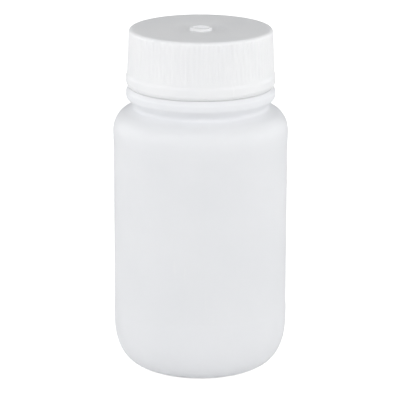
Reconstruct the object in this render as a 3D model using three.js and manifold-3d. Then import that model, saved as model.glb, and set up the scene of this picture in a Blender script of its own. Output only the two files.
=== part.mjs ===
// A wide-mouth reagent bottle of translucent polypropylene, with a ribbed screw cap and a foam liner.
// Millimetres, +Z up. The origin is the centre of the foot, on the surface that the bottle stands on.

import * as THREE from "three";
import { mergeVertices } from "three/addons/utils/BufferGeometryUtils.js";
import Module from "manifold-3d";

const wasm = await Module();
wasm.setup();

// Facets round every turned surface.
const FACETS = 40;

// Bottle body: outer radii and heights, from the foot up.
const BODY_R = 25.4;
const WALL = 1.25;
const FOOT_INNER_R = 14.2;
const FOOT_OUTER_R = 15.6;
const FLOOR_Z = 1.5;
const PUSH_UP = 2.0;
const FLOOR_CENTRE_Z = 3.2;
const HEEL_TOP_Z = 15.0;
const HEEL_EXPONENT = 2.5;
const PANEL_BOTTOM_Z = 18.5;
const PANEL_TOP_Z = 66.5;
const PANEL_SLOPE = 1.5;
const PANEL_RELIEF = 0.1;
const SHOULDER_Z = 70.3;
const SHOULDER_R = 19.9;
const SHOULDER_RISE = 6.5;

// Neck and its 38 mm finish, with the carrying ring under the cap. The ring's underside is a cone.
const NECK_R = 19.2;
const RING_R = 21.65;
const RING_CONE_TOP_Z = 80.1;
const RING_TOP_Z = 83.15;
const RING_UPPER_ROUND = 1.2;
const FINISH_R = 17.45;
const BORE_R = 15.75;
const BORE_FLARE = 2.4;
const RIM_Z = 97.1;
const RIM_CHAMFER = 0.3;

// Screw thread: six turns to the inch, right-handed. Both threads share one helix, a fixed drop apart.
const LEAD = 25.4 / 6;
const THREAD_Z = 85.9;
const BOTTLE_THREAD = { root: FINISH_R, crest: 18.65, rootHalf: 1.05, crestHalf: 0.45, from: 0, to: 1.8 };
const CAP_DROP = 1.6;
const THREAD_RUN_OUT = 0.12;
const THREAD_STEPS_PER_TURN = 24;
const THREAD_BITE = 0.3;
const THREAD_END_BITE = 0.06;

// Screw cap.
const CAP_BOTTOM_Z = 83.5;
const CAP_TOP_Z = 100.2;
const CAP_UNDERSIDE_Z = 98.6;
const CAP_BORE_R = 18.95;
const CAP_LEAD_IN = 0.45;
const BAND_R = 21.6;
const BAND_SLOPE_Z = 86.6;
const BAND_TOP_Z = 87.5;
const BAND_ROUND = 0.9;
const CORE_BOTTOM_R = 20.7;
const CORE_TOP_R = 20.35;
const CAP_THREAD = { root: CAP_BORE_R, crest: 17.75, rootHalf: 0.85, crestHalf: 0.35, from: 0.25, to: 1.75 };

// Grip ribs, which draw in towards the top and run out over the top round.
const RIB_COUNT = 96;
const RIB_BOTTOM_R = 21.3;
const RIB_TOP_R = 20.82;
const RIB_DEPTH = 0.3;
const RIB_RING_BORE_R = 19.8;
const RIB_FOOT_BITE = 0.3;
const RIB_RUN_OUT_DEG = 75;
const TOP_ROUND = 1.1;

// Bead that keeps the liner in the cap, and the moulding gate in a shallow dish in the cap's top.
const BEAD_R = 18.45;
const BEAD_Z = 96.75;
const BEAD_HALF = 0.2;
const BEAD_SLOPE = 0.4;
const DISH_R = 9.0;
const DISH_Z = 99.7;
const GATE_OUTER_R = 3.2;
const GATE_INNER_R = 2.35;
const GATE_TOP_Z = 100.45;
const GATE_FLOOR_Z = 99.5;
const GATE_ROUND = 0.2;
const NUB_R = 0.7;
const NUB_TOP_Z = 99.95;

// Foam liner, clear of the rim and of the cap's underside.
const LINER_R = 18.6;
const LINER_GAP = 0.3;

// A profile point: distance from the axis, and height.
function point(r, z) {
  return new THREE.Vector2(r, z);
}

// Part of an ellipse in a profile, between two angles in degrees. An exponent over 2 squares it up.
function arc(centreR, centreZ, semiR, semiZ, fromDeg, toDeg, steps, exponent = 2) {
  const squareUp = (v) => Math.sign(v) * Math.abs(v) ** (2 / exponent);
  return Array.from({ length: steps + 1 }, (_, i) => {
    const angle = THREE.MathUtils.degToRad(THREE.MathUtils.lerp(fromDeg, toDeg, i / steps));
    const across = Math.abs(Math.cos(angle)) < 1e-9 ? 0 : Math.cos(angle);
    const up = Math.abs(Math.sin(angle)) < 1e-9 ? 0 : Math.sin(angle);
    return point(centreR + semiR * squareUp(across), centreZ + semiZ * squareUp(up));
  });
}

// A smooth rise between the axis and a radius, as a half wave.
function dome(radius, centreZ, edgeZ, steps) {
  return Array.from({ length: steps + 1 }, (_, i) => {
    const share = i / steps;
    const wave = (1 + Math.cos(Math.PI * share)) / 2;
    return point(radius * share, edgeZ + (centreZ - edgeZ) * wave);
  });
}

// Turns a profile about the Z axis. Profiles run anticlockwise: underside, outside, top, inside.
function turned(profile) {
  return new THREE.LatheGeometry(profile, FACETS).rotateX(Math.PI / 2);
}

// Moves every vertex of a geometry to where the given function puts it.
function reshape(geometry, place) {
  const position = geometry.getAttribute("position");
  const vertex = new THREE.Vector3();
  for (let i = 0; i < position.count; i++) {
    vertex.fromBufferAttribute(position, i);
    place(vertex);
    position.setXYZ(i, vertex.x, vertex.y, vertex.z);
  }
  return geometry;
}

// A closed geometry as a solid that can be joined to others.
function solid(geometry) {
  const bare = geometry.clone();
  bare.deleteAttribute("normal");
  bare.deleteAttribute("uv");
  const merged = mergeVertices(bare, 1e-4);
  return new wasm.Manifold(
    new wasm.Mesh({
      numProp: 3,
      vertProperties: merged.getAttribute("position").array,
      triVerts: new Uint32Array(merged.index.array),
    }),
  );
}

// Joins closed geometries into one.
function joined(geometries) {
  const whole = geometries.map(solid).reduce((sum, next) => sum.add(next));
  const { vertProperties, triVerts } = whole.getMesh();
  const geometry = new THREE.BufferGeometry();
  geometry.setAttribute("position", new THREE.BufferAttribute(vertProperties, 3));
  geometry.setIndex(new THREE.BufferAttribute(triVerts, 1));
  const flat = geometry.toNonIndexed();
  flat.computeVertexNormals();
  return flat;
}

// A screw thread: a trapezoid with its foot sunk in the wall, led round the helix, fading at both ends.
function thread({ root, crest, rootHalf, crestHalf, from, to }, startZ) {
  const outward = Math.sign(crest - root);
  const section = new THREE.Shape([
    point(-THREAD_BITE * outward, -rootHalf * outward),
    point(0, -rootHalf * outward),
    point(crest - root, -crestHalf * outward),
    point(crest - root, crestHalf * outward),
    point(0, rootHalf * outward),
    point(-THREAD_BITE * outward, rootHalf * outward),
  ]);
  const turns = to - from;
  const bar = new THREE.ExtrudeGeometry(section, {
    depth: turns,
    steps: Math.round(turns * THREAD_STEPS_PER_TURN),
    bevelEnabled: false,
  });
  return reshape(bar, (vertex) => {
    const turn = to - vertex.z;
    const fromEnd = Math.min(turn - from, to - turn);
    const height = THREE.MathUtils.clamp(fromEnd / THREAD_RUN_OUT, 0, 1);
    const proud = vertex.x * outward > 0;
    const sunk = -outward * THREAD_END_BITE * (1 - height);
    const radius = root + (proud ? vertex.x * height + sunk : vertex.x);
    const angle = 2 * Math.PI * turn;
    vertex.set(radius * Math.cos(angle), radius * Math.sin(angle), startZ + LEAD * turn + vertex.y);
  });
}

function bottleGeometry() {
  const innerR = BODY_R - WALL;
  const shoulderSemi = BODY_R - SHOULDER_R;
  const neckFillet = SHOULDER_R - NECK_R;
  const shoulderTopZ = SHOULDER_Z + SHOULDER_RISE;
  const innerTopZ = shoulderTopZ - WALL;
  const outside = [
    ...dome(FOOT_INNER_R, PUSH_UP, 0, 5),
    ...arc(FOOT_OUTER_R, HEEL_TOP_Z, BODY_R - FOOT_OUTER_R, HEEL_TOP_Z, -90, 0, 8, HEEL_EXPONENT),
    point(BODY_R, PANEL_BOTTOM_Z - PANEL_SLOPE),
    point(BODY_R - PANEL_RELIEF, PANEL_BOTTOM_Z),
    point(BODY_R - PANEL_RELIEF, PANEL_TOP_Z),
    point(BODY_R, PANEL_TOP_Z + PANEL_SLOPE),
    ...arc(SHOULDER_R, SHOULDER_Z, shoulderSemi, SHOULDER_RISE, 0, 90, 6),
    ...arc(SHOULDER_R, shoulderTopZ + neckFillet, neckFillet, neckFillet, -90, -180, 2).slice(1),
    point(NECK_R, RING_CONE_TOP_Z - (RING_R - NECK_R)),
    point(RING_R, RING_CONE_TOP_Z),
    ...arc(
      RING_R - RING_UPPER_ROUND,
      RING_TOP_Z - RING_UPPER_ROUND,
      RING_UPPER_ROUND,
      RING_UPPER_ROUND,
      0,
      90,
      3,
    ),
    point(FINISH_R, RING_TOP_Z),
    point(FINISH_R, RIM_Z - RIM_CHAMFER),
    point(FINISH_R - RIM_CHAMFER, RIM_Z),
  ];
  const inside = [
    point(BORE_R + RIM_CHAMFER, RIM_Z),
    point(BORE_R, RIM_Z - RIM_CHAMFER),
    ...arc(BORE_R + BORE_FLARE, innerTopZ + BORE_FLARE, BORE_FLARE, BORE_FLARE, -180, -90, 3),
    ...arc(SHOULDER_R, SHOULDER_Z, innerR - SHOULDER_R, innerTopZ - SHOULDER_Z, 90, 0, 5),
    ...arc(FOOT_OUTER_R, HEEL_TOP_Z, innerR - FOOT_OUTER_R, HEEL_TOP_Z - FLOOR_Z, 0, -90, 7, HEEL_EXPONENT),
    ...dome(FOOT_OUTER_R, FLOOR_CENTRE_Z, FLOOR_Z, 4).reverse().slice(1),
  ];
  return joined([turned([...outside, ...inside]), thread(BOTTLE_THREAD, THREAD_Z)]);
}

// The cap without its ribs and thread.
function capCore() {
  const coreRound = CORE_TOP_R - (RIB_TOP_R - TOP_ROUND);
  return turned([
    point(0, CAP_UNDERSIDE_Z),
    point(CAP_BORE_R, CAP_UNDERSIDE_Z),
    point(CAP_BORE_R, BEAD_Z + BEAD_HALF + BEAD_SLOPE),
    point(BEAD_R, BEAD_Z + BEAD_HALF),
    point(BEAD_R, BEAD_Z - BEAD_HALF),
    point(CAP_BORE_R, BEAD_Z - BEAD_HALF - BEAD_SLOPE),
    point(CAP_BORE_R, CAP_BOTTOM_Z + CAP_LEAD_IN),
    point(CAP_BORE_R + CAP_LEAD_IN, CAP_BOTTOM_Z),
    ...arc(BAND_R - BAND_ROUND, CAP_BOTTOM_Z + BAND_ROUND, BAND_ROUND, BAND_ROUND, -90, 0, 3),
    point(BAND_R, BAND_SLOPE_Z),
    point(RIB_BOTTOM_R, BAND_TOP_Z),
    point(CORE_BOTTOM_R, BAND_TOP_Z),
    ...arc(CORE_TOP_R - coreRound, CAP_TOP_Z - coreRound, coreRound, coreRound, 0, 90, 3),
    point(DISH_R, CAP_TOP_Z),
    point(GATE_OUTER_R, DISH_Z),
    point(GATE_OUTER_R, GATE_TOP_Z - GATE_ROUND),
    point(GATE_OUTER_R - GATE_ROUND, GATE_TOP_Z),
    point(GATE_INNER_R + GATE_ROUND, GATE_TOP_Z),
    point(GATE_INNER_R, GATE_TOP_Z - GATE_ROUND),
    point(GATE_INNER_R, GATE_FLOOR_Z),
    point(NUB_R, GATE_FLOOR_Z),
    point(NUB_R, NUB_TOP_Z),
    point(0, NUB_TOP_Z),
  ]);
}

// The ring of grip ribs: a zigzag outline raised through a few heights, narrower at each one.
function ribRing() {
  const outline = new THREE.Shape(
    Array.from({ length: 2 * RIB_COUNT }, (_, i) => {
      const angle = (Math.PI * i) / RIB_COUNT;
      const radius = i % 2 ? RIB_BOTTOM_R - RIB_DEPTH : RIB_BOTTOM_R;
      return point(radius * Math.cos(angle), radius * Math.sin(angle));
    }),
  );
  outline.holes.push(new THREE.Path().absarc(0, 0, RIB_RING_BORE_R, 0, 2 * Math.PI, true));
  const roundR = RIB_TOP_R - TOP_ROUND;
  const roundZ = CAP_TOP_Z - TOP_ROUND;
  const overTheRound = arc(roundR, roundZ, TOP_ROUND, TOP_ROUND, 0, RIB_RUN_OUT_DEG, 2);
  const heights = [point(RIB_BOTTOM_R, BAND_TOP_Z - RIB_FOOT_BITE), ...overTheRound];
  const ring = new THREE.ExtrudeGeometry(outline, {
    depth: heights.length - 1,
    steps: heights.length - 1,
    curveSegments: FACETS / 2,
    bevelEnabled: false,
  });
  return reshape(ring, (vertex) => {
    const level = heights[Math.round(vertex.z)];
    const scale = level.x / RIB_BOTTOM_R;
    vertex.set(vertex.x * scale, vertex.y * scale, level.y);
  });
}

function capGeometry() {
  return joined([capCore(), ribRing(), thread(CAP_THREAD, THREAD_Z - CAP_DROP)]);
}

function linerGeometry() {
  const bottomZ = RIM_Z + LINER_GAP;
  const topZ = CAP_UNDERSIDE_Z - LINER_GAP;
  return turned([point(0, bottomZ), point(LINER_R, bottomZ), point(LINER_R, topZ), point(0, topZ)]);
}

function namedMesh(name, geometry, color, roughness) {
  const mesh = new THREE.Mesh(
    geometry,
    new THREE.MeshStandardMaterial({ color, roughness, metalness: 0 }),
  );
  mesh.name = name;
  return mesh;
}

const reagentBottle = new THREE.Group();
reagentBottle.name = "reagent_bottle";
reagentBottle.add(namedMesh("bottle", bottleGeometry(), 0xe6e9e9, 0.4));

const closure = new THREE.Group();
closure.name = "closure";
closure.add(namedMesh("cap_liner", linerGeometry(), 0xf1f0ea, 0.9));
closure.add(namedMesh("screw_cap", capGeometry(), 0xeceeed, 0.5));
reagentBottle.add(closure);

export default reagentBottle;
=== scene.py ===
import math
from collections import namedtuple

import bpy
from mathutils import Matrix, Vector


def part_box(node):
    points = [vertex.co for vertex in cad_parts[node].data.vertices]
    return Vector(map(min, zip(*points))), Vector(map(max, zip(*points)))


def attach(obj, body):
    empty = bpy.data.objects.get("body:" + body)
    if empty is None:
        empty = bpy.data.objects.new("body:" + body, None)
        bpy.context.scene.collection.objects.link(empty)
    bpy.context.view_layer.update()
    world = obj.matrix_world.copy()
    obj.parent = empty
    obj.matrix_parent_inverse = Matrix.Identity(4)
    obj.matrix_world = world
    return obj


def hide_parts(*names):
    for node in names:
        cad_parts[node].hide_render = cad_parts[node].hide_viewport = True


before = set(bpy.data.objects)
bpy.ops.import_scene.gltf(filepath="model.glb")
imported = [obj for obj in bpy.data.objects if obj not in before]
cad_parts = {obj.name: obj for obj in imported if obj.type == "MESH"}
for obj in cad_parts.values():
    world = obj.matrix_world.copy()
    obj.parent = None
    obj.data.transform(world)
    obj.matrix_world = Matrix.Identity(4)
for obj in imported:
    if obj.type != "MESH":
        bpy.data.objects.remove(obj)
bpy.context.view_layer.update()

# Profiles are in millimetres, as (distance from the axis, height); meshes are in metres.
MM = 0.001

# One ring of a turned mesh: radius, height, vertices round it, and relief(angle, height), an extra radius.
Ring = namedtuple("Ring", "r z count relief")

# ---- sizes taken from the CAD frame, in millimetres ----
bottle_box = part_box("bottle")
cap_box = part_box("screw_cap")
liner_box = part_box("cap_liner")
BODY_R = bottle_box[1][0] / MM
RIM_Z = bottle_box[1][2] / MM
BAND_R = cap_box[1][0] / MM
CAP_BOTTOM_Z = cap_box[0][2] / MM
GATE_TOP_Z = cap_box[1][2] / MM
LINER_R = liner_box[1][0] / MM
LINER_BOTTOM_Z = liner_box[0][2] / MM
LINER_TOP_Z = liner_box[1][2] / MM

# ---- bottle ----
WALL = 1.25
FOOT_INNER_R = 14.2
FOOT_OUTER_R = 15.6
PUSH_UP = 2.0
FLOOR_Z = 1.5
FLOOR_CENTRE_Z = 3.2
HEEL_TOP_Z = 15.0
HEEL_EXPONENT = 2.5
PANEL_BOTTOM_Z = 18.5
PANEL_TOP_Z = 66.5
PANEL_SLOPE = 1.5
PANEL_RELIEF = 0.1
PANEL_ROUND = 6.0
SHOULDER_Z = 70.3
SHOULDER_R = 19.9
SHOULDER_RISE = 6.5
SHOULDER_SWEEP = 64.0
NECK_R = 19.0
NECK_ROUND = 1.0
RING_LOWER_ROUND = 1.2
RING_UPPER_ROUND = 1.4
LIP_ROUND = 0.4
RING_R = 21.65
RING_CONE_TOP_Z = 80.3
RING_TOP_Z = 83.43
NOTCH_R = 21.0
NOTCH_ROUND = 0.15
FINISH_R = 17.45
BORE_R = 15.75
BORE_FLARE = 2.4
SINK = 0.035

# ---- screw thread, shared by bottle and cap ----
LEAD = 25.4 / 6
THREAD_Z = 85.9
CAP_DROP = 1.6
THREAD_RUN_OUT = 0.12
THREAD_HEIGHT = 1.2
THREAD_RING_STEP = 0.16

# ---- cap ----
CAP_TOP_Z = 100.2
CAP_UNDERSIDE_Z = 98.6
CAP_BORE_R = 18.95
BAND_SLOPE_Z = 86.6
BAND_TOP_Z = 87.5
BAND_LOWER_RISE = 1.1
BAND_LOWER_ROUND = 1.4
BAND_UPPER_ROUND = 2.0
BAND_STEP_ROUND = 1.2
RIB_COUNT = 96
RIB_BOTTOM_R = 21.3
RIB_TOP_R = 20.82
RIB_DEPTH = 0.12
RIB_START = 2.0
TOP_ROUND = 1.1
BEAD_R = 18.45
BEAD_Z = 96.75
DISH_R = 9.0
DISH_Z = 99.7
DISH_ROUND = 14.0
GATE_OUTER_R = 3.2
GATE_INNER_R = 2.35
GATE_FLOOR_Z = 99.5
NUB_R = 0.7
NUB_TOP_Z = 99.95

# ---- mesh fineness: vertices round the axis ----
BOTTLE_COUNT = 256
CAP_OUTER_COUNT = 8 * RIB_COUNT
CAP_INNER_COUNT = 2 * RIB_COUNT
GATE_COUNT = RIB_COUNT


def plain(angle, z):
    """No relief: the ring is a true circle."""
    return 0.0


def rings(points, count, relief=plain):
    """Rings through profile points."""
    return [Ring(r, z, count, relief) for r, z in points]


def arc(centre_r, centre_z, semi_r, semi_z, start, end, steps, exponent=2.0):
    """Part of an ellipse between two angles in degrees. An exponent over 2 squares it up."""
    points = []
    for i in range(steps + 1):
        angle = math.radians(start + (end - start) * i / steps)
        across = math.copysign(abs(math.cos(angle)) ** (2 / exponent), math.cos(angle))
        up = math.copysign(abs(math.sin(angle)) ** (2 / exponent), math.sin(angle))
        points.append((centre_r + semi_r * across, centre_z + semi_z * up))
    return points


def dome(radius, centre_z, edge_z, steps):
    """A half-wave rise from an edge to the axis, listed from the axis outwards."""
    return [
        (radius * i / steps, edge_z + (centre_z - edge_z) * (1 + math.cos(math.pi * i / steps)) / 2)
        for i in range(steps + 1)
    ]


def rounded(corners, steps=4):
    """A polyline with its inner corners rounded. Each corner is (r, z, radius of its round)."""
    points = [corners[0][:2]]
    for before, corner, after in zip(corners, corners[1:], corners[2:]):
        here = Vector(corner[:2])
        back = (Vector(before[:2]) - here).normalized()
        on = (Vector(after[:2]) - here).normalized()
        half = back.angle(on) / 2
        reach = corner[2] / math.tan(half)
        if corner[2] == 0:
            points.append(corner[:2])
            continue
        centre = here + (back + on).normalized() * corner[2] / math.sin(half)
        first = here + back * reach - centre
        last = here + on * reach - centre
        sweep = first.angle_signed(last)
        for i in range(steps + 1):
            turn = Matrix.Rotation(-sweep * i / steps, 2)
            points.append(tuple(centre + turn @ first))
    points.append(corners[-1][:2])
    return points


def stepped(start, end, step):
    """Profile points on a straight line, at most a step apart."""
    start, end = Vector(start), Vector(end)
    count = math.ceil((end - start).length / step)
    return [tuple(start.lerp(end, i / count)) for i in range(count + 1)]


def smooth_step(share):
    share = min(max(share, 0.0), 1.0)
    return share * share * (3 - 2 * share)


def helix_relief(height, root_half, crest_half, first_turn, last_turn, start_z):
    """Relief of a screw thread that climbs one lead a turn and fades out at both ends."""

    def relief(angle, z):
        share = angle / (2 * math.pi)
        nearest = 0.0
        for turn_number in range(math.ceil(last_turn) + 1):
            turn = share + turn_number
            fade = smooth_step(min(turn - first_turn, last_turn - turn) / THREAD_RUN_OUT)
            off = abs(z - start_z - LEAD * turn)
            flank = smooth_step((root_half - off) / (root_half - crest_half))
            nearest = max(nearest, fade * flank)
        return height * nearest

    return relief


def rib_relief(angle, z):
    """Grip ribs: an even wave round the skirt, starting softly above the lower band."""
    phase = angle * RIB_COUNT / (2 * math.pi)
    groove = 0.5 - 0.5 * math.cos(2 * math.pi * phase)
    start = smooth_step((z - BAND_TOP_Z) / RIB_START)
    return -RIB_DEPTH * groove * start


def rib_run_out(angle, z):
    """The ribs fading over the cap's top round."""
    fade = 1 - smooth_step((z - (CAP_TOP_Z - TOP_ROUND)) / TOP_ROUND)
    return rib_relief(angle, z) * fade


def body_sink(angle, z):
    """The slight, uneven shrinkage of a blow-moulded wall. It only ever sinks."""
    height = math.sin(math.pi * min(max((z - HEEL_TOP_Z) / (SHOULDER_Z - HEEL_TOP_Z), 0), 1))
    wave = 0.5 + 0.3 * math.sin(2 * angle + 0.6 + z * 0.05) + 0.2 * math.sin(3 * angle - z * 0.09)
    return -SINK * height * wave


def ring_vertices(ring):
    if ring.r < 1e-6:
        return [(0.0, 0.0, ring.z * MM)]
    vertices = []
    for i in range(ring.count):
        angle = 2 * math.pi * i / ring.count
        radius = (ring.r + ring.relief(angle, ring.z)) * MM
        vertices.append((radius * math.cos(angle), radius * math.sin(angle), ring.z * MM))
    return vertices


def faces_between(lower, lower_count, upper, upper_count):
    """Faces that join two rings, given the index of each ring's first vertex and its vertex count."""
    if lower_count == 1:
        return [(lower, upper + i, upper + (i + 1) % upper_count)[::-1] for i in range(upper_count)]
    if upper_count == 1:
        return [(lower + i, lower + (i + 1) % lower_count, upper) for i in range(lower_count)]
    faces = []
    coarse = min(lower_count, upper_count)
    lower_share = lower_count // coarse
    upper_share = upper_count // coarse
    for i in range(coarse):
        below = [lower + (i * lower_share + k) % lower_count for k in range(lower_share + 1)]
        above = [upper + (i * upper_share + k) % upper_count for k in range(upper_share + 1)]
        faces.append(tuple(below + above[::-1]))
    return faces


def turned(name, ring_list, material, body, node):
    """A closed mesh through rings listed anticlockwise, riding on a body in place of a CAD node."""
    vertices, faces, starts = [], [], []
    for ring in ring_list:
        starts.append(len(vertices))
        vertices += ring_vertices(ring)
    ends = starts[1:] + [len(vertices)]
    for a in range(len(ring_list) - 1):
        faces += faces_between(
            starts[a], ends[a] - starts[a], starts[a + 1], ends[a + 1] - starts[a + 1]
        )
    mesh = bpy.data.meshes.new(name)
    mesh.from_pydata(vertices, [], faces)
    mesh.validate()
    mesh.polygons.foreach_set("use_smooth", [True] * len(mesh.polygons))
    mesh.materials.append(material)
    piece = bpy.data.objects.new(name, mesh)
    bpy.context.scene.collection.objects.link(piece)
    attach(piece, body)
    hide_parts(node)
    return piece


# ---- profiles ----
def bottle_rings():
    inner_r = BODY_R - WALL
    shoulder_top = SHOULDER_Z + SHOULDER_RISE
    inner_top = shoulder_top - WALL
    thread = helix_relief(THREAD_HEIGHT, 1.05, 0.45, 0.0, 1.8, THREAD_Z)
    shoulder = arc(SHOULDER_R, SHOULDER_Z, BODY_R - SHOULDER_R, SHOULDER_RISE, 0, SHOULDER_SWEEP, 16)
    body = (
        arc(FOOT_OUTER_R, HEEL_TOP_Z, BODY_R - FOOT_OUTER_R, HEEL_TOP_Z, -90, 0, 26, HEEL_EXPONENT)
        + rounded(
            [
                (BODY_R, HEEL_TOP_Z + 0.5, 0),
                (BODY_R, PANEL_BOTTOM_Z - PANEL_SLOPE, PANEL_ROUND),
                (BODY_R - PANEL_RELIEF, PANEL_BOTTOM_Z, PANEL_ROUND),
                (BODY_R - PANEL_RELIEF, PANEL_TOP_Z, PANEL_ROUND),
                (BODY_R, PANEL_TOP_Z + PANEL_SLOPE, PANEL_ROUND),
                (BODY_R, SHOULDER_Z - 0.5, 0),
            ]
        )
        + shoulder
    )
    collar = rounded(
        [
            (*shoulder[-1], 0),
            (NECK_R, RING_CONE_TOP_Z - (RING_R - NECK_R), NECK_ROUND),
            (RING_R, RING_CONE_TOP_Z, RING_LOWER_ROUND),
            (RING_R, RING_TOP_Z - RING_UPPER_ROUND, RING_UPPER_ROUND),
            (NOTCH_R, RING_TOP_Z, NOTCH_ROUND),
            (FINISH_R, RING_TOP_Z, LIP_ROUND),
            (FINISH_R, RING_TOP_Z + 1.2, 0),
        ]
    )[1:]
    finish = stepped((FINISH_R, RING_TOP_Z + 1.4), (FINISH_R, 95.4), THREAD_RING_STEP)
    rim = rounded(
        [
            (FINISH_R, 95.6, 0),
            (FINISH_R, RIM_Z, LIP_ROUND),
            (BORE_R, RIM_Z, LIP_ROUND),
            (BORE_R, RIM_Z - 2.0, 0),
        ]
    )
    inside = (
        stepped((BORE_R, RIM_Z - 4), (BORE_R, inner_top + BORE_FLARE + 0.5), 4)
        + arc(BORE_R + BORE_FLARE, inner_top + BORE_FLARE, BORE_FLARE, BORE_FLARE, -180, -90, 8)
        + arc(SHOULDER_R, SHOULDER_Z, inner_r - SHOULDER_R, inner_top - SHOULDER_Z, 90, 0, 12)
        + stepped((inner_r, SHOULDER_Z - 3), (inner_r, HEEL_TOP_Z + 3), 8)
        + arc(
            FOOT_OUTER_R,
            HEEL_TOP_Z,
            inner_r - FOOT_OUTER_R,
            HEEL_TOP_Z - FLOOR_Z,
            0,
            -90,
            20,
            HEEL_EXPONENT,
        )
        + dome(FOOT_OUTER_R, FLOOR_CENTRE_Z, FLOOR_Z, 12)[::-1][1:]
    )
    return (
        rings(dome(FOOT_INNER_R, PUSH_UP, 0, 14), BOTTLE_COUNT)
        + rings(body, BOTTLE_COUNT, body_sink)
        + rings(collar, BOTTLE_COUNT)
        + rings(finish, BOTTLE_COUNT, thread)
        + rings(rim, BOTTLE_COUNT)
        + rings(inside, BOTTLE_COUNT)
    )


def cap_rings():
    thread = helix_relief(-THREAD_HEIGHT, 0.85, 0.35, 0.25, 1.75, THREAD_Z - CAP_DROP)
    ceiling = rounded(
        [
            (0, CAP_UNDERSIDE_Z, 0),
            (CAP_BORE_R, CAP_UNDERSIDE_Z, 0.3),
            (CAP_BORE_R, BEAD_Z + 0.55, 0.15),
            (BEAD_R, BEAD_Z + 0.15, 0.15),
            (BEAD_R, BEAD_Z - 0.15, 0.15),
            (CAP_BORE_R, BEAD_Z - 0.6, 0.2),
            (CAP_BORE_R, BEAD_Z - 1.6, 0),
        ]
    )
    threaded = stepped((CAP_BORE_R, BEAD_Z - 2), (CAP_BORE_R, CAP_BOTTOM_Z + 0.6), THREAD_RING_STEP)
    mouth = [(CAP_BORE_R + 0.05, CAP_BOTTOM_Z + 0.4), (CAP_BORE_R + 0.3, CAP_BOTTOM_Z + 0.1)]
    lower_face = [(CAP_BORE_R + 0.6, CAP_BOTTOM_Z), (CAP_BORE_R + 1.0, CAP_BOTTOM_Z)]
    band = rounded(
        [
            (CAP_BORE_R + 1.1, CAP_BOTTOM_Z, 0),
            (NOTCH_R, CAP_BOTTOM_Z, NOTCH_ROUND),
            (BAND_R, CAP_BOTTOM_Z + BAND_LOWER_RISE, BAND_LOWER_ROUND),
            (BAND_R, BAND_SLOPE_Z, BAND_UPPER_ROUND),
            (RIB_BOTTOM_R, BAND_TOP_Z, BAND_STEP_ROUND),
            (RIB_BOTTOM_R - 0.01, BAND_TOP_Z + 0.35, 0),
        ],
        steps=5,
    )
    top_round_z = CAP_TOP_Z - TOP_ROUND
    skirt = [
        (RIB_BOTTOM_R - 0.02, BAND_TOP_Z + 0.5),
        (RIB_BOTTOM_R - 0.05, BAND_TOP_Z + 1.1),
        (RIB_BOTTOM_R - 0.09, BAND_TOP_Z + 2.0),
        (RIB_BOTTOM_R - 0.18, BAND_TOP_Z + 4.0),
        (RIB_BOTTOM_R - 0.34, BAND_TOP_Z + 8.0),
    ]
    top_round = arc(RIB_TOP_R - TOP_ROUND, top_round_z, TOP_ROUND, TOP_ROUND, 0, 90, 9)
    disc = [(RIB_TOP_R - TOP_ROUND - 0.6, CAP_TOP_Z), (RIB_TOP_R - TOP_ROUND - 1.0, CAP_TOP_Z)]
    gate = rounded(
        [
            (DISH_R + 1.5, CAP_TOP_Z, 0),
            (DISH_R, CAP_TOP_Z, DISH_ROUND),
            (GATE_OUTER_R, DISH_Z, 0.12),
            (GATE_OUTER_R, GATE_TOP_Z, 0.25),
            (GATE_INNER_R, GATE_TOP_Z, 0.25),
            (GATE_INNER_R, GATE_FLOOR_Z, 0.2),
            (NUB_R, GATE_FLOOR_Z, 0.15),
            (NUB_R, NUB_TOP_Z, 0.2),
            (0, NUB_TOP_Z, 0),
        ]
    )
    return (
        rings(ceiling, CAP_INNER_COUNT)
        + rings(threaded, CAP_INNER_COUNT, thread)
        + rings(mouth + lower_face[:1], CAP_INNER_COUNT)
        + rings(lower_face[1:] + band, CAP_OUTER_COUNT)
        + rings(skirt, CAP_OUTER_COUNT, rib_relief)
        + rings(top_round, CAP_OUTER_COUNT, rib_run_out)
        + rings(disc[:1], CAP_OUTER_COUNT)
        + rings(disc[1:], GATE_COUNT)
        + rings(gate, GATE_COUNT)
    )


def liner_rings():
    """A foam disc, pressed in slightly where the bottle's rim seals on it."""
    press = 0.06
    underside = [
        (0, LINER_BOTTOM_Z, 0),
        (BORE_R - 0.2, LINER_BOTTOM_Z, 0.3),
        (BORE_R + 0.2, LINER_BOTTOM_Z + press, 0.3),
        (FINISH_R - 0.2, LINER_BOTTOM_Z + press, 0.3),
        (FINISH_R + 0.2, LINER_BOTTOM_Z, 0.3),
        (LINER_R, LINER_BOTTOM_Z, 0.15),
        (LINER_R, LINER_TOP_Z, 0.15),
        (0, LINER_TOP_Z, 0),
    ]
    return rings(rounded(underside), GATE_COUNT)


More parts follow.
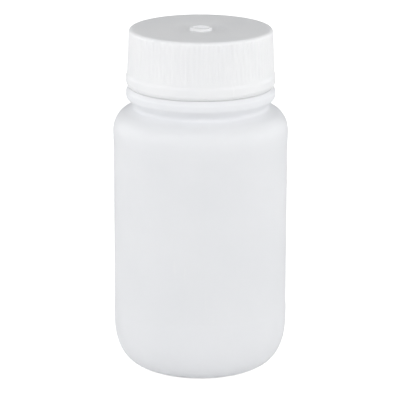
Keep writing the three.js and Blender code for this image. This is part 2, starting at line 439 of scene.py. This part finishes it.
# ---- materials ----
class Surface:
    """A Principled material with short ways to add procedural detail in object space."""

    def __init__(self, name):
        self.material = bpy.data.materials.new(name)
        self.material.use_nodes = True
        self.tree = self.material.node_tree
        self.shader = self.tree.nodes["Principled BSDF"]
        self.place = self.add("ShaderNodeTexCoord").outputs["Object"]
        self.heights = []

    def add(self, kind, inputs=None, **settings):
        node = self.tree.nodes.new(kind)
        for key, value in settings.items():
            setattr(node, key, value)
        for key, value in (inputs or {}).items():
            self.feed(node.inputs[key], value)
        return node

    def feed(self, socket, value):
        if isinstance(value, bpy.types.NodeSocket):
            self.tree.links.new(value, socket)
        else:
            socket.default_value = value

    def set(self, **numbers):
        for key, value in numbers.items():
            self.feed(self.shader.inputs[key.replace("_", " ")], value)

    def math(self, operation, a, b=0.0):
        return self.add("ShaderNodeMath", {0: a, 1: b}, operation=operation).outputs[0]

    def stretched(self, scale):
        """Object space scaled unevenly, for streaks."""
        return self.add("ShaderNodeMapping", {"Vector": self.place, "Scale": scale}).outputs[0]

    def noise(self, scale, detail=3.0, place=None):
        inputs = {"Vector": place or self.place, "Scale": scale, "Detail": detail}
        return self.add("ShaderNodeTexNoise", inputs).outputs["Fac"]

    def remap(self, value, low, high, new_low, new_high):
        inputs = {0: value, 1: low, 2: high, 3: new_low, 4: new_high}
        return self.add("ShaderNodeMapRange", inputs).outputs[0]

    def blend(self, share, first, second):
        node = self.add("ShaderNodeMix", {0: share}, data_type="RGBA")
        self.feed(node.inputs[6], first)
        self.feed(node.inputs[7], second)
        return node.outputs[2]

    def raise_by(self, height, metres):
        """Adds a height map, given as 0 to 1 times a depth in metres."""
        self.heights.append(self.math("MULTIPLY", height, metres))

    def finish(self):
        total = self.heights[0]
        for height in self.heights[1:]:
            total = self.math("ADD", total, height)
        bump = self.add("ShaderNodeBump", {"Height": total, "Distance": 1.0, "Strength": 1.0})
        self.feed(self.shader.inputs["Normal"], bump.outputs["Normal"])
        return self.material


def scuffs(surface, scale, share):
    """Fine short rub marks: 0 on clean plastic, 1 in a mark."""
    streaks = surface.noise(scale, 2.0, surface.stretched((1.0, 1.0, 0.12)))
    patches = surface.noise(scale * 0.06, 2.0)
    marks = surface.remap(streaks, 0.66, 0.74, 0.0, 1.0)
    return surface.math("MULTIPLY", marks, surface.remap(patches, 0.5, 0.7, 0.0, share))


def rubbed(surface, roughness, marks):
    """Roughness raised where the plastic is scuffed."""
    return surface.math("ADD", roughness, surface.math("MULTIPLY", marks, 0.15))


def parting_line(surface, half_width):
    """The mould's parting line in the plane y = 0: 1 on the line, 0 away from it."""
    across = surface.add("ShaderNodeSeparateXYZ", {0: surface.place}).outputs["Y"]
    return surface.remap(surface.math("ABSOLUTE", across), 0.0, half_width, 1.0, 0.0)


def bottle_material():
    surface = Surface("bottle_polypropylene")
    cloud = surface.noise(45.0)
    marks = scuffs(surface, 900.0, 0.25)
    share = surface.remap(cloud, 0.3, 0.7, 0.0, 1.0)
    tint = surface.blend(share, (0.842, 0.852, 0.875, 1), (0.865, 0.872, 0.893, 1))
    surface.set(
        Base_Color=surface.blend(marks, tint, (0.93, 0.93, 0.93, 1)),
        Roughness=rubbed(surface, surface.remap(cloud, 0.3, 0.7, 0.42, 0.50), marks),
        IOR=1.49,
        Transmission_Weight=0.08,
        Subsurface_Weight=0.5,
        Subsurface_Radius=(1.0, 1.0, 1.0),
        Subsurface_Scale=0.002,
    )
    surface.raise_by(surface.noise(1400.0, 2.0), 6e-6)
    surface.raise_by(surface.noise(160.0, 2.0, surface.stretched((1.0, 1.0, 0.25))), 2.5e-5)
    surface.raise_by(parting_line(surface, 0.00022), 3e-5)
    return surface.finish()


def cap_material():
    surface = Surface("cap_polypropylene")
    cloud = surface.noise(60.0)
    marks = scuffs(surface, 700.0, 0.7)
    share = surface.remap(cloud, 0.3, 0.7, 0.0, 1.0)
    tint = surface.blend(share, (0.81, 0.815, 0.825, 1), (0.835, 0.835, 0.84, 1))
    surface.set(
        Base_Color=surface.blend(marks, tint, (0.94, 0.94, 0.94, 1)),
        Roughness=rubbed(surface, surface.remap(cloud, 0.3, 0.7, 0.40, 0.48), marks),
        IOR=1.49,
        Subsurface_Weight=0.5,
        Subsurface_Radius=(1.0, 1.0, 1.0),
        Subsurface_Scale=0.002,
    )
    surface.raise_by(surface.noise(1800.0, 2.0), 5e-6)
    surface.raise_by(surface.noise(250.0, 2.0), 5e-6)
    return surface.finish()


def liner_material():
    surface = Surface("liner_foam")
    voronoi = surface.add("ShaderNodeTexVoronoi", {"Vector": surface.place, "Scale": 2200.0})
    cells = voronoi.outputs["Distance"]
    cloud = surface.noise(120.0)
    surface.set(
        Base_Color=surface.blend(cloud, (0.80, 0.79, 0.75, 1), (0.86, 0.85, 0.82, 1)),
        Roughness=surface.remap(cloud, 0.3, 0.7, 0.75, 0.9),
        Subsurface_Weight=0.2,
        Subsurface_Scale=0.001,
    )
    surface.raise_by(cells, 4e-5)
    surface.raise_by(cloud, 2e-5)
    return surface.finish()


# ---- camera, floor and light ----
CAMERA_DISTANCE = 0.6923
CAMERA_ELEVATION = 15.79
CAMERA_ROLL = 0.164
CAMERA_LENS = 212.9
ORBIT_CENTRE = Vector((0, 0, 0.050))
AIM = Vector((-0.00012, 0, 0.04888))
LIGHT_PLACES = ((-120, 10), (-80, 12), (-40, 31), (0, 33), (40, 31), (80, 12), (120, 10))
LIGHT_DISTANCE = 1.4
LIGHT_SIZE = 0.7
LIGHT_POWER = 4.0
FLOOR_WHITE = 0.9
FLOOR_GLOW = 0.75
WALLS = 0.28
CEILING = 0.38


def add_camera():
    elevation = math.radians(CAMERA_ELEVATION)
    data = bpy.data.cameras.new("camera")
    data.lens = CAMERA_LENS
    data.sensor_width = 36.0
    camera = bpy.data.objects.new("camera", data)
    place = ORBIT_CENTRE + CAMERA_DISTANCE * Vector((0, -math.cos(elevation), math.sin(elevation)))
    look = (AIM - place).to_track_quat("-Z", "Y").to_matrix().to_4x4()
    roll = Matrix.Rotation(math.radians(CAMERA_ROLL), 4, "Z")
    camera.matrix_world = Matrix.Translation(place) @ look @ roll
    bpy.context.scene.collection.objects.link(camera)
    bpy.context.scene.camera = camera


def add_floor():
    """A pale sheet. The camera sees it brightened to white; the bottle sees it as it is."""
    half = 4.0
    mesh = bpy.data.meshes.new("floor")
    corners = [(-half, -half, 0), (half, -half, 0), (half, half, 0), (-half, half, 0)]
    mesh.from_pydata(corners, [], [(0, 1, 2, 3)])
    floor = bpy.data.objects.new("floor", mesh)
    bpy.context.scene.collection.objects.link(floor)
    material = bpy.data.materials.new("floor_white")
    material.use_nodes = True
    nodes, links = material.node_tree.nodes, material.node_tree.links
    shader = nodes["Principled BSDF"]
    shader.inputs["Base Color"].default_value = (FLOOR_WHITE, FLOOR_WHITE, FLOOR_WHITE, 1)
    shader.inputs["Roughness"].default_value = 0.9
    shader.inputs["Specular IOR Level"].default_value = 0.0
    shader.inputs["Emission Color"].default_value = (1, 1, 1, 1)
    seen = nodes.new("ShaderNodeLightPath").outputs["Is Camera Ray"]
    glow = nodes.new("ShaderNodeMath")
    glow.operation = "MULTIPLY"
    glow.inputs[1].default_value = FLOOR_GLOW
    links.new(seen, glow.inputs[0])
    links.new(glow.outputs[0], shader.inputs["Emission Strength"])
    mesh.materials.append(material)


def add_soft_lights():
    """Softboxes round the bottle: the front ones stand above it, the side ones level with it."""
    for azimuth, elevation in LIGHT_PLACES:
        data = bpy.data.lights.new("softbox", "AREA")
        data.shape = "SQUARE"
        data.size = LIGHT_SIZE
        data.energy = LIGHT_POWER
        light = bpy.data.objects.new("softbox", data)
        turn = Matrix.Rotation(math.radians(azimuth), 4, "Z")
        tilt = Matrix.Rotation(math.radians(90 - elevation), 4, "X")
        out = Matrix.Translation((0, 0, LIGHT_DISTANCE))
        light.matrix_world = Matrix.Translation(ORBIT_CENTRE) @ turn @ tilt @ out
        bpy.context.scene.collection.objects.link(light)


def add_surroundings():
    """A white room whose ceiling is a little brighter than its walls."""
    world = bpy.data.worlds.new("surroundings")
    world.use_nodes = True
    nodes, links = world.node_tree.nodes, world.node_tree.links
    direction = nodes.new("ShaderNodeTexCoord").outputs["Generated"]
    split = nodes.new("ShaderNodeSeparateXYZ")
    links.new(direction, split.inputs[0])
    fade = nodes.new("ShaderNodeMapRange")
    links.new(split.outputs["Z"], fade.inputs[0])
    fade.inputs[1].default_value = 0.25
    fade.inputs[2].default_value = 0.75
    fade.inputs[3].default_value = WALLS
    fade.inputs[4].default_value = CEILING
    links.new(fade.outputs[0], nodes["Background"].inputs["Strength"])
    nodes["Background"].inputs["Color"].default_value = (0.97, 0.985, 1.0, 1)
    bpy.context.scene.world = world


turned("bottle_shell", bottle_rings(), bottle_material(), "bottle", "bottle")
turned("cap_shell", cap_rings(), cap_material(), "cap", "screw_cap")
turned("liner_disc", liner_rings(), liner_material(), "liner", "cap_liner")

add_camera()
add_floor()
add_soft_lights()
add_surroundings()
bpy.context.scene.view_settings.view_transform = "Standard"
